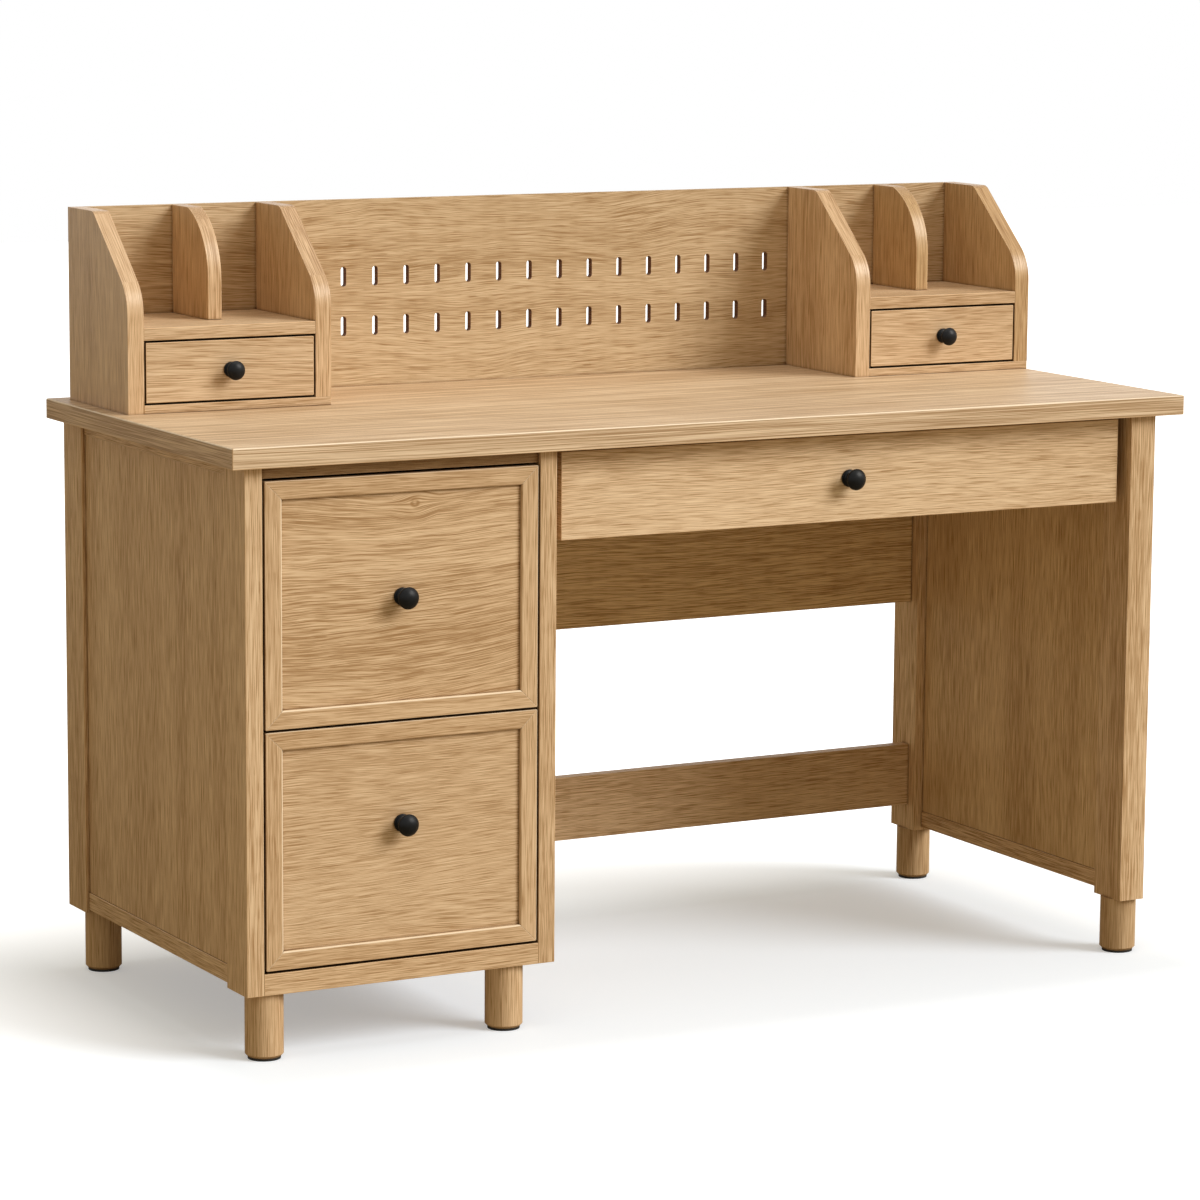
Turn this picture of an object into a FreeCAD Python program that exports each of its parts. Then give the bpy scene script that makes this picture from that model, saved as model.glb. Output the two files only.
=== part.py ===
"""An oak desk with a drawer pedestal, a panelled right end and a low hutch of two small drawer units.

Millimetres, +Z up, the front faces -Y. The origin is on the floor, below the middle of the whole
desk. Every size is a cell of the sheet "Sizes", and every sub-part takes its sizes from those cells
by formula.
"""
import FreeCAD
import Part

import math
import os
import types

import Sketcher

# Name, number and meaning of each driving size, in millimetres unless it says otherwise.
SIZES = [
    ("desk_width", 1380, "worktop from end to end"),
    ("desk_depth", 600, "worktop from front edge to rear edge"),
    ("desk_height", 760, "floor to the top of the worktop"),
    ("top_thick", 26, "worktop"),
    ("top_round", 2, "rounding of the worktop's upper edges"),
    ("base_in_left", 22, "left end of the worktop past the pedestal"),
    ("base_in_right", 35, "right end of the worktop past the end panel"),
    ("base_in_front", 15, "front edge of the worktop past the posts"),
    ("base_in_rear", 5, "rear edge of the worktop past the posts"),
    ("board_thick", 18, "modesty board, stretcher, pedestal floor, pencil front"),
    ("overrun", 10, "how far every cutting shape passes the solid that it cuts"),
    # Pedestal
    ("ped_width", 422, "pedestal from side to side"),
    ("ped_lift", 85, "floor to the underside of the pedestal"),
    ("post_thick", 23, "pedestal posts, across the desk"),
    ("post_deep", 61, "every post, from front to rear"),
    ("side_in", 4, "side rails behind the outer faces of the posts"),
    ("panel_step", 1.5, "side panels behind the faces of their rails"),
    ("rail_high", 23, "lower side rails"),
    ("rail_lift", 4, "lower side rails above the feet of the posts"),
    ("top_rail_high", 16, "upper side rails"),
    ("back_thick", 9, "pedestal back"),
    ("back_in", 4, "pedestal back behind the rear faces of the posts"),
    ("front_rail_high", 27, "rail under the lower file drawer"),
    ("front_rail_thick", 20, "both front rails, front to rear"),
    ("upper_rail_high", 15, "rail over the upper file drawer"),
    ("upper_rail_in", 6, "that rail behind the faces of the posts"),
    # Right end
    ("end_lift", 75, "floor to the underside of the end posts"),
    ("end_post_thick", 38, "end posts, across the desk"),
    ("end_recess", 13, "end rails behind the inner faces of the end posts"),
    # Boards between the pedestal and the right end
    ("modesty_rise", 409, "floor to the lower edge of the modesty board"),
    ("rear_board_in", 26, "modesty board and stretcher in front of the posts' rear faces"),
    ("stretcher_rise", 111, "floor to the lower edge of the stretcher"),
    ("stretcher_high", 89, "stretcher"),
    # Legs
    ("leg_radius", 24, "round legs"),
    ("leg_bevel", 3.5, "bevel round a leg's lower edge"),
    ("leg_in_side", 36, "left legs' centres in from the pedestal's side"),
    ("leg_in_right", 56, "right pedestal legs' centres in from its side"),
    ("leg_in_deep", 31, "legs' centres in from the front and rear faces"),
    ("glide_radius", 20.5, "pads under the legs"),
    ("glide_thick", 3, "pads under the legs"),
    ("bolt_radius", 4, "bolts that hold the legs"),
    ("bolt_in_leg", 40, "bolt inside a leg"),
    ("bolt_in_wood", 16, "bolt above a leg"),
    ("bolt_play", 0.1, "radial play round a bolt or a screw"),
    # File drawers
    ("front_gap", 3, "gap round each drawer front"),
    ("file_low_high", 295, "front of the lower file drawer"),
    ("frame_wide", 23, "members of the framed fronts"),
    ("frame_thick", 20, "framed fronts"),
    ("frame_lip", 5, "lip of the frame in front of the panel"),
    ("frame_rebate", 8, "rebate behind that lip"),
    ("frame_bevel", 1.5, "bevel along the frame's inner edges"),
    ("panel_thick", 12, "panel of a framed front"),
    ("panel_play", 0.5, "play round that panel in its rebate"),
    ("low_knob_rise", 20, "lower file knob above the middle of its front"),
    ("file_box_rise", 20, "file boxes above the lower edges of their fronts"),
    ("file_box_drop", 35, "file boxes' rims below the upper edges of their fronts"),
    ("file_box_clear", 47, "room between the file boxes and the pedestal's back"),
    ("box_thick", 12, "sides, fronts and backs of the large boxes"),
    ("box_floor", 8, "floors of the large boxes"),
    # Runners
    ("runner_gap", 13, "room for a runner at each side of a large box"),
    ("runner_sheet", 1.5, "steel of the runners"),
    ("track_high", 35, "outer channels"),
    ("track_flange", 9.5, "flanges of both channels, with the web"),
    ("runner_play", 0.3, "play between the nested channels, up and down"),
    ("file_track_rise", 60, "file runners' lower edges above the boxes' undersides"),
    ("pencil_track_rise", 18, "pencil runners' lower edges above the box's underside"),
    ("track_back", 25, "tracks' front ends behind the faces of the posts"),
    ("file_track_clear", 22, "file tracks' rear ends in front of the pedestal's back"),
    ("pencil_track_clear", 2, "pencil tracks' rear ends in front of the modesty board"),
    # Pencil drawer
    ("pencil_in", 13, "front of the pencil drawer behind the faces of the posts"),
    ("pencil_drop", 5, "upper edge of its front under the worktop"),
    ("pencil_high", 111, "its front"),
    ("pencil_box_rise", 14, "its box above the lower edge of its front"),
    ("pencil_box_drop", 25, "its box's rim below the upper edge of its front"),
    ("pencil_box_clear", 65, "room between its box and the modesty board"),
    # Knobs and their screws
    ("knob_long", 26, "large knobs, from the wood to the tip"),
    ("knob_head", 13.8, "radius of a large knob's head"),
    ("knob_foot", 11, "radius of a large knob's foot"),
    ("knob_neck", 6, "radius of a large knob's neck"),
    ("knob_foot_thick", 2.5, "disc at a large knob's foot"),
    ("knob_neck_high", 9, "end of a large knob's straight neck above the wood"),
    ("knob_rim_low", 17, "underside of a large knob's rim above the wood"),
    ("knob_rim_high", 19.5, "upper edge of that rim above the wood"),
    ("knob_face", 6.5, "radius of the flat middle of a large knob's face"),
    ("small_share", 0.89, "small knobs against the large ones"),
    ("screw_radius", 2, "knob screws"),
    ("screw_in_knob", 9, "screw inside a knob"),
    ("screw_head", 4.5, "radius of a screw's head"),
    ("screw_head_thick", 3, "a screw's head"),
    # Hutch
    ("hutch_in_left", 22, "hutch in from the worktop's left end"),
    ("hutch_in_right", 1, "hutch in from the worktop's right end"),
    ("hutch_in_rear", 29, "hutch in from the worktop's rear edge"),
    ("hutch_deep", 197, "hutch, front to rear"),
    ("hutch_high", 250, "hutch"),
    ("hutch_back_thick", 10, "back of the hutch"),
    ("unit_width", 282, "each drawer unit"),
    ("unit_side", 22, "sides of a unit"),
    ("unit_base", 11, "base board of a unit"),
    ("unit_shelf", 16, "shelf of a unit"),
    ("unit_room", 82, "height of a unit's drawer space"),
    ("slant_back", 112, "start of the sides' slant behind their front"),
    ("slant_high", 151, "end of the slant above the worktop"),
    ("slant_low_round", 60, "rounding at the slant's lower end"),
    ("slant_top_round", 18, "rounding at the slant's upper end"),
    ("divider_at", 119, "divider behind a unit's left side panel"),
    ("divider_thick", 19, "divider"),
    ("divider_deep", 116, "divider at its foot"),
    ("divider_top", 51, "divider at its top"),
    ("divider_curve", 96, "radius of the divider's front edge"),
    # Slots in the hutch back
    ("slot_wide", 8, "slots"),
    ("slot_long", 26.5, "slots, end to end"),
    ("slot_pitch", 46.5, "from column to column"),
    ("slot_rows", 66.2, "from the lower row to the upper row"),
    ("slot_low", 81, "lower row's centres above the worktop"),
    ("slot_first", 59, "first column's centres beside the left unit"),
    ("slot_columns", 16, "number of columns"),
    # Small drawers
    ("small_front_thick", 16, "fronts of the small drawers"),
    ("small_gap", 2.8, "gap round those fronts"),
    ("small_side_play", 1, "play at each side of their boxes"),
    ("small_run_play", 0.3, "play under their boxes"),
    ("small_box_drop", 12, "their boxes' rims below the shelf"),
    ("small_box_clear", 21, "room between their boxes and the hutch back"),
    ("small_box_thick", 9, "sides and backs of their boxes"),
    ("small_box_floor", 5, "floors of their boxes"),
]

doc = FreeCAD.newDocument("Desk")
sheet = doc.addObject("Spreadsheet::Sheet", "Sizes")


class Size:
    """A length that carries its number and its formula in the sheet's names."""

    def __init__(self, number, formula):
        self.number = number
        self.formula = formula

    def join(self, sign, other, number):
        text = other.formula if isinstance(other, Size) else repr(other)
        return Size(number, "(%s %s %s)" % (self.formula, sign, text))

    def __add__(self, other):
        return self.join("+", other, self.number + other.number)

    def __sub__(self, other):
        return self.join("-", other, self.number - other.number)

    def __mul__(self, other):
        factor = other.number if isinstance(other, Size) else other
        return self.join("*", other, self.number * factor)

    def __truediv__(self, other):
        factor = other.number if isinstance(other, Size) else other
        return self.join("/", other, self.number / factor)

    def __neg__(self):
        return NONE - self

    def root(self):
        return Size(math.sqrt(self.number), "sqrt(%s)" % self.formula)


NONE = Size(0, "0")


def fill_sheet():
    """Writes the sizes as text with their aliases and returns them by name."""
    sizes = {}
    for row, (name, number, meaning) in enumerate(SIZES, start=1):
        sheet.set("A%d" % row, meaning)
        sheet.set("B%d" % row, str(number))
        sheet.setAlias("B%d" % row, name)
        sizes[name] = Size(number, "Sizes." + name)
    doc.recompute()
    return types.SimpleNamespace(**sizes)


at = fill_sheet()
parts = []


def bind(thing, prop, size):
    thing.setExpression(prop, size.formula)


def place(thing, x, y, z):
    """Puts a sub-part's own origin at three formulas."""
    for axis, size in (("x", x), ("y", y), ("z", z)):
        bind(thing, ".Placement.Base." + axis, size)


def keep(thing, label):
    """Marks a finished sub-part: its label names its file."""
    thing.Label = label
    parts.append(thing)
    return thing


def board(name, low, size):
    """A square-edged board from its low corner and its three sizes."""
    box = doc.addObject("Part::Box", name)
    for prop, length in zip(("Length", "Width", "Height"), size):
        bind(box, prop, length)
    place(box, *low)
    return box


def rod(name, centre, radius, length, along="z"):
    """A round bar that starts at a point and runs up, or to the rear."""
    bar = doc.addObject("Part::Cylinder", name)
    bind(bar, "Radius", radius)
    bind(bar, "Height", length)
    if along == "y":
        bar.Placement.Rotation = FreeCAD.Rotation(FreeCAD.Vector(1, 0, 0), -90)
    place(bar, *centre)
    return bar


def cut(name, base, tools):
    """A solid less one or more cutting shapes."""
    tool = tools[0] if len(tools) == 1 else group(name + "_cutters", tools)
    result = doc.addObject("Part::Cut", name)
    result.Base = base
    result.Tool = tool
    return result


def group(name, things):
    """Several separate solids in one sub-part."""
    result = doc.addObject("Part::Compound", name)
    result.Links = things
    return result


# Sketches and bodies

def new_sketch(body, plane, name):
    """An empty sketch on one of a body's own origin planes."""
    sketch = body.newObject("Sketcher::SketchObject", name)
    face = next(item for item in body.Origin.OriginFeatures if item.Role == plane)
    sketch.AttachmentSupport = [(face, "")]
    sketch.MapMode = "FlatFace"
    return sketch


def tie(sketch, kind, geometry, point, size):
    """Fixes one coordinate of a sketch point by formula."""
    if size is NONE:
        axis = -2 if kind == "DistanceX" else -1
        sketch.addConstraint(Sketcher.Constraint("PointOnObject", geometry, point, axis))
        return
    index = sketch.addConstraint(Sketcher.Constraint(kind, -1, 1, geometry, point, size.number))
    bind(sketch, "Constraints[%d]" % index, size)


def arc_between(start, end, radius, turn):
    """The arc from start to end that bends left (turn 1) or right (turn -1)."""
    chord = end - start
    rise = math.sqrt(max(radius * radius - chord.Length * chord.Length / 4, 0))
    side = FreeCAD.Vector(-chord.y, chord.x, 0).normalize()
    centre = start + chord / 2 + side * rise * turn
    first, last = (start, end) if turn > 0 else (end, start)
    angles = [math.atan2(p.y - centre.y, p.x - centre.x) for p in (first, last)]
    circle = Part.Circle(centre, FreeCAD.Vector(0, 0, 1), radius)
    return Part.ArcOfCircle(circle, angles[0], angles[1])


def outline(sketch, corners):
    """Closes lines and arcs through the corners.

    A corner is (x, y), or (x, y, radius, turn) where an arc leads on to the next corner.
    """
    points = [FreeCAD.Vector(corner[0].number, corner[1].number, 0) for corner in corners]
    ends = []
    for index, corner in enumerate(corners):
        start, end = points[index], points[(index + 1) % len(points)]
        if len(corner) == 2:
            ends.append((sketch.addGeometry(Part.LineSegment(start, end)), 1, 2))
            continue
        geometry = sketch.addGeometry(arc_between(start, end, corner[2].number, corner[3]))
        ends.append((geometry, 1, 2) if corner[3] > 0 else (geometry, 2, 1))
    for index, corner in enumerate(corners):
        geometry, first, last = ends[index]
        onward = ends[(index + 1) % len(ends)]
        sketch.addConstraint(Sketcher.Constraint("Coincident", geometry, last, onward[0], onward[1]))
        tie(sketch, "DistanceX", geometry, first, corner[0])
        tie(sketch, "DistanceY", geometry, first, corner[1])
        if len(corner) > 2:
            radius = sketch.addConstraint(Sketcher.Constraint("Radius", geometry, corner[2].number))
            bind(sketch, "Constraints[%d]" % radius, corner[2])


def add_pad(body, plane, corners, length, name):
    """Adds an outline to a body, padded to +X, +Y or +Z."""
    sketch = new_sketch(body, plane, name + "_outline")
    outline(sketch, corners)
    pad = body.newObject("PartDesign::Pad", name)
    pad.Profile = sketch
    bind(pad, "Length", length)
    pad.Reversed = plane == "XZ_Plane"
    return pad


def padded(name, plane, corners, length):
    """A body made of one padded outline."""
    body = doc.addObject("PartDesign::Body", name)
    add_pad(body, plane, corners, length, name + "_pad")
    return body


def turned(name, corners):
    """A body turned about its own Z axis from an outline in the XZ plane."""
    body = doc.addObject("PartDesign::Body", name)
    sketch = new_sketch(body, "XZ_Plane", name + "_outline")
    outline(sketch, corners)
    turn = body.newObject("PartDesign::Revolution", name + "_turn")
    turn.Profile = sketch
    turn.ReferenceAxis = (sketch, ["V_Axis"])
    turn.Angle = 360
    return body


def edges_near(shape, points):
    """The names of the edges whose middles lie nearest to the points."""
    names = []
    for point in points:
        gaps = [(edge.CenterOfMass - point).Length for edge in shape.Edges]
        names.append("Edge%d" % (gaps.index(min(gaps)) + 1))
    return names


def ease(body, kind, points, size, name):
    """Rounds or bevels the edges of a body that lie nearest to the points."""
    doc.recompute()
    base = body.Tip
    feature = body.newObject("PartDesign::" + kind, name)
    feature.Base = (base, edges_near(base.Shape, points))
    bind(feature, "Radius" if kind == "Fillet" else "Size", size)
    return feature


def vector(x, y, z):
    return FreeCAD.Vector(x.number, y.number, z.number)


# Main planes, from left to right, front to rear and floor to top

left_end = -at.desk_width / 2
right_end = at.desk_width / 2
knob_past = at.knob_long - at.base_in_front - at.frame_lip
front_edge = (knob_past - at.desk_depth) / 2
rear_edge = front_edge + at.desk_depth
under_top = at.desk_height - at.top_thick

ped_left = left_end + at.base_in_left
ped_right = ped_left + at.ped_width
bay_left = ped_left + at.post_thick
bay_right = ped_right - at.post_thick
end_right = right_end - at.base_in_right
end_left = end_right - at.end_post_thick
posts_front = front_edge + at.base_in_front
posts_rear = rear_edge - at.base_in_rear
behind_front_post = posts_front + at.post_deep
before_rear_post = posts_rear - at.post_deep
back_face = posts_rear - at.back_in - at.back_thick
rear_board_front = posts_rear - at.rear_board_in - at.board_thick

file_low_bottom = at.ped_lift + at.front_rail_high + at.front_gap
file_up_bottom = file_low_bottom + at.file_low_high + at.front_gap
file_up_high = under_top - at.upper_rail_high - at.front_gap - file_up_bottom
panel_face = posts_front + at.frame_lip
pencil_bottom = under_top - at.pencil_drop - at.pencil_high


def make_worktop():
    corners = [(NONE, NONE), (at.desk_width, NONE), (at.desk_width, at.desk_depth), (NONE, at.desk_depth)]
    top = padded("worktop", "XY_Plane", corners, at.top_thick)
    middle_x, middle_y = at.desk_width / 2, at.desk_depth / 2
    rim = [
        vector(middle_x, NONE, at.top_thick),
        vector(middle_x, at.desk_depth, at.top_thick),
        vector(NONE, middle_y, at.top_thick),
        vector(at.desk_width, middle_y, at.top_thick),
    ]
    ease(top, "Fillet", rim, at.top_round, "worktop_round")
    place(top, left_end, front_edge, under_top)
    keep(top, "worktop")


def leg_places():
    """Centres of the four pedestal legs, then of the two legs of the right end."""
    front = posts_front + at.leg_in_deep
    rear = posts_rear - at.leg_in_deep
    columns = [ped_left + at.leg_in_side, ped_right - at.leg_in_right]
    pedestal = [(x, y) for x in columns for y in (front, rear)]
    end_middle = end_left + at.end_post_thick / 2
    return pedestal, [(end_middle, front), (end_middle, rear)]


def make_pedestal():
    """Posts, framed sides, back, floor and front rails of the drawer pedestal."""
    high = under_top - at.ped_lift
    post = (at.post_thick, at.post_deep, high)
    front_left = board("post_fl", (ped_left, posts_front, at.ped_lift), post)
    keep(front_left, "pedestal_post_front_left")
    front_right = board("post_fr", (bay_right, posts_front, at.ped_lift), post)
    keep(front_right, "pedestal_post_front_right")
    rear_left = board("post_rl", (ped_left, before_rear_post, at.ped_lift), post)
    rear_right = board("post_rr", (bay_right, before_rear_post, at.ped_lift), post)
    keep(group("posts_rear", [rear_left, rear_right]), "pedestal_posts_rear")

    span = before_rear_post - behind_front_post
    rail_thick = at.post_thick - at.side_in
    panel_thick = rail_thick - at.panel_step - at.panel_step
    low_rail = at.ped_lift + at.rail_lift
    panel_low = low_rail + at.rail_high
    panel_high = under_top - at.top_rail_high - panel_low
    rails = []
    for side, x in (("left", ped_left + at.side_in), ("right", bay_right)):
        low = board("rail_low_" + side, (x, behind_front_post, low_rail), (rail_thick, span, at.rail_high))
        top_z = under_top - at.top_rail_high
        top = board("rail_top_" + side, (x, behind_front_post, top_z), (rail_thick, span, at.top_rail_high))
        rails += [low, top]
        panel_size = (panel_thick, span, panel_high)
        panel = board("panel_" + side, (x + at.panel_step, behind_front_post, panel_low), panel_size)
        keep(panel, "pedestal_panel_" + side)
    keep(group("side_rails", rails), "pedestal_side_rails")

    bay = bay_right - bay_left
    back = board("ped_back", (bay_left, back_face, at.ped_lift), (bay, at.back_thick, high))
    keep(back, "pedestal_back")
    rail_front = posts_front + at.upper_rail_in
    low = board("front_rail_low", (bay_left, posts_front, at.ped_lift),
                (bay, at.front_rail_thick, at.front_rail_high))
    top = board("front_rail_top", (bay_left, rail_front, under_top - at.upper_rail_high),
                (bay, at.front_rail_thick, at.upper_rail_high))
    keep(group("front_rails", [low, top]), "pedestal_front_rails")

    floor_front = posts_front + at.front_rail_thick
    floor = board("ped_floor_board", (bay_left, floor_front, at.ped_lift),
                  (bay, back_face - floor_front, at.board_thick))
    bores = []
    for number, (x, y) in enumerate(leg_places()[0]):
        start = (x, y, at.ped_lift - at.overrun)
        hole = rod("floor_bore_%d" % number, start, at.bolt_radius + at.bolt_play,
                   at.overrun + at.bolt_in_wood + at.bolt_play)
        bores.append(hole)
    keep(cut("ped_floor", floor, bores), "pedestal_floor")


def make_right_end():
    """Two posts with a framed panel between them."""
    high = under_top - at.end_lift
    for side, y, (leg_x, leg_y) in zip(("front", "rear"), (posts_front, before_rear_post), leg_places()[1]):
        post = board("end_board_" + side, (end_left, y, at.end_lift), (at.end_post_thick, at.post_deep, high))
        bore = rod("end_bore_" + side, (leg_x, leg_y, at.end_lift - at.overrun),
                   at.bolt_radius + at.bolt_play, at.overrun + at.bolt_in_wood + at.bolt_play)
        keep(cut("end_" + side, post, [bore]), "end_post_" + side)
    span = before_rear_post - behind_front_post
    x = end_left + at.end_recess
    thick = at.end_post_thick - at.end_recess - at.side_in
    low_rail = at.end_lift + at.rail_lift
    panel_low = low_rail + at.rail_high
    top_z = under_top - at.top_rail_high
    low = board("end_rail_low", (x, behind_front_post, low_rail), (thick, span, at.rail_high))
    top = board("end_rail_top", (x, behind_front_post, top_z), (thick, span, at.top_rail_high))
    keep(group("end_rail_pair", [low, top]), "end_rails")
    panel_thick = thick - at.panel_step - at.panel_step
    panel = board("end_board", (x + at.panel_step, behind_front_post, panel_low),
                  (panel_thick, span, top_z - panel_low))
    keep(panel, "end_panel")


def make_rear_boards():
    """The modesty board behind the knees and the stretcher near the floor."""
    span = end_left - ped_right
    modesty = board("modesty", (ped_right, rear_board_front, at.modesty_rise),
                    (span, at.board_thick, under_top - at.modesty_rise))
    keep(modesty, "modesty_board")
    rail = board("stretcher_board", (ped_right, rear_board_front, at.stretcher_rise),
                 (span, at.board_thick, at.stretcher_high))
    keep(rail, "stretcher")


def make_legs():
    """Turned legs on round pads, each held by a bolt from above."""
    pedestal, end = leg_places()
    pads, bolts = [], []
    bore = at.bolt_radius + at.bolt_play
    for label, places, lift in (("pedestal_legs", pedestal, at.ped_lift), ("end_legs", end, at.end_lift)):
        legs = []
        for number, (x, y) in enumerate(places):
            name = "%s_%d" % (label, number)
            high = lift - at.glide_thick
            blind = high - at.bolt_in_leg - at.bolt_play
            flat = at.leg_radius - at.leg_bevel
            corners = [
                (NONE, NONE), (flat, NONE), (at.leg_radius, at.leg_bevel),
                (at.leg_radius, high), (bore, high), (bore, blind), (NONE, blind),
            ]
            leg = turned(name, corners)
            place(leg, x, y, at.glide_thick)
            legs.append(leg)
            pads.append(rod(name + "_pad", (x, y, NONE), at.glide_radius, at.glide_thick))
            bolt_long = at.bolt_in_leg + at.bolt_in_wood
            bolts.append(rod(name + "_bolt", (x, y, lift - at.bolt_in_leg), at.bolt_radius, bolt_long))
        keep(group(label + "_set", legs), label)
    keep(group("glide_set", pads), "leg_glides")
    keep(group("bolt_set", bolts), "leg_bolts")


def knob_corners(scale):
    """Half outline of a turned knob: screw bore, foot, neck, flared head, rim and bevelled face."""
    long, head = at.knob_long * scale, at.knob_head * scale
    foot, foot_top = at.knob_foot * scale, at.knob_foot_thick * scale
    neck, neck_high = at.knob_neck * scale, at.knob_neck_high * scale
    rim_low, rim_high = at.knob_rim_low * scale, at.knob_rim_high * scale
    flat = at.knob_face * scale
    bore = at.screw_radius + at.bolt_play
    blind = at.screw_in_knob + at.bolt_play
    return [
        (NONE, blind), (bore, blind), (bore, NONE), (foot, NONE), (foot, foot_top), (neck, foot_top),
        (neck, neck_high), (head, rim_low), (head, rim_high), (flat, long), (NONE, long),
    ]


def make_knob(name, x, face, z, through, scale):
    """A knob on a drawer front, and the screw that holds it from inside the drawer."""
    knob = turned(name + "_knob_body", knob_corners(scale))
    knob.Placement.Rotation = FreeCAD.Rotation(FreeCAD.Vector(1, 0, 0), 90)
    place(knob, x, face, z)
    keep(knob, name + "_knob")
    shank = rod(name + "_shank", (x, face - at.screw_in_knob, z), at.screw_radius,
                at.screw_in_knob + through, along="y")
    head = rod(name + "_screw_head", (x, face + through, z), at.screw_head, at.screw_head_thick, along="y")
    screw = doc.addObject("Part::MultiFuse", name + "_screw_fuse")
    screw.Shapes = [shank, head]
    keep(screw, name + "_screw")


def drilled(name, piece, x, z, start, depth):
    """A front-to-rear screw hole through one board."""
    bore = rod(name + "_bore", (x, start - at.overrun, z), at.screw_radius + at.bolt_play,
               depth + at.overrun + at.overrun, along="y")
    return cut(name, piece, [bore])


def box_boards(name, low, size, thick, floor, knob):
    """Floor, sides, back and drilled front of a drawer box."""
    x, y, z = low
    wide, deep, high = size
    knob_x, knob_z = knob
    inner = wide - thick - thick
    wall = high - floor
    top_of_floor = z + floor
    side_size = (thick, deep, wall)
    base = board(name + "_floor", low, (wide, deep, floor))
    left = board(name + "_left", (x, y, top_of_floor), side_size)
    right = board(name + "_right", (x + wide - thick, y, top_of_floor), side_size)
    back = board(name + "_back", (x + thick, y + deep - thick, top_of_floor), (inner, thick, wall))
    front = board(name + "_front", (x + thick, y, top_of_floor), (inner, thick, wall))
    front = drilled(name + "_front_drilled", front, knob_x, knob_z, y, thick)
    return [base, left, right, back, front]


def channel(name, web_x, y, z, high, length, opens):
    """A steel channel along Y: its web's outer face is at web_x, and it opens to +X (1) or -X (-1)."""
    sheet_thick, flange = at.runner_sheet, at.track_flange
    corners = [
        (NONE, NONE), (flange, NONE), (flange, sheet_thick), (sheet_thick, sheet_thick),
        (sheet_thick, high - sheet_thick), (flange, high - sheet_thick), (flange, high), (NONE, high),
    ]
    if opens < 0:
        corners = [(flange - u if u is not NONE else flange, v) for u, v in corners]
        corners = [(NONE if u.number == 0 else u, v) for u, v in corners]
    body = padded(name, "XZ_Plane", corners, length)
    place(body, web_x if opens > 0 else web_x - flange, y, z)
    return body


def runner_pair(name, walls, z, y, track_rear, box_rear):
    """Tracks on the two walls, and the nested runners on the box between them."""
    left_wall, right_wall = walls
    track_long, run_long = track_rear - y, box_rear - y
    inner_high = at.track_high - (at.runner_sheet + at.runner_play) * 2
    inner_z = z + at.runner_sheet + at.runner_play
    box_left, box_right = left_wall + at.runner_gap, right_wall - at.runner_gap
    tracks = [
        channel(name + "_track_left", left_wall, y, z, at.track_high, track_long, 1),
        channel(name + "_track_right", right_wall, y, z, at.track_high, track_long, -1),
    ]
    runners = [
        channel(name + "_runner_left", box_left, y, inner_z, inner_high, run_long, -1),
        channel(name + "_runner_right", box_right, y, inner_z, inner_high, run_long, 1),
    ]
    return tracks, runners


def frame_member(name, corners, inner, edge_middle, low):
    """One mitred member: a thin lip in front and a narrower full-thickness part behind it."""
    body = padded(name, "XZ_Plane", corners, at.frame_lip)
    add_pad(body, "XZ_Plane", inner, at.frame_thick, name + "_core")
    ease(body, "Chamfer", [edge_middle], at.frame_bevel, name + "_bevel")
    place(body, *low)
    return body


def framed_front(name, x, z, wide, high):
    """Two mitred stiles and two mitred rails round the opening for a panel."""
    lip, core = at.frame_wide, at.frame_wide - at.frame_rebate
    half_wide, half_high = wide / 2, high / 2
    step = lip - core

    def lying(edge, depth, flip):
        """Corners of a rail that is depth high; flip turns it over for the top of the frame."""
        start = step if flip and depth is core else NONE
        if flip:
            return [(depth, start), (wide - depth, start), (wide, edge), (NONE, edge)]
        return [(NONE, NONE), (wide, NONE), (wide - depth, depth), (depth, depth)]

    def upright(edge, depth, flip):
        """The same for a stile."""
        start = step if flip and depth is core else NONE
        if flip:
            return [(start, depth), (edge, NONE), (edge, high), (start, high - depth)]
        return [(NONE, NONE), (depth, depth), (depth, high - depth), (NONE, high)]

    bottom = frame_member(name + "_rail_low", lying(lip, lip, False), lying(lip, core, False),
                          vector(half_wide, NONE, lip), (x, posts_front, z))
    top = frame_member(name + "_rail_high", lying(lip, lip, True), lying(lip, core, True),
                       vector(half_wide, NONE, NONE), (x, posts_front, z + high - lip))
    left = frame_member(name + "_stile_left", upright(lip, lip, False), upright(lip, core, False),
                        vector(lip, NONE, half_high), (x, posts_front, z))
    right = frame_member(name + "_stile_right", upright(lip, lip, True), upright(lip, core, True),
                         vector(NONE, NONE, half_high), (x + wide - lip, posts_front, z))
    keep(group(name + "_rail_pair", [bottom, top]), name + "_rails")
    keep(group(name + "_stile_pair", [left, right]), name + "_stiles")


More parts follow.
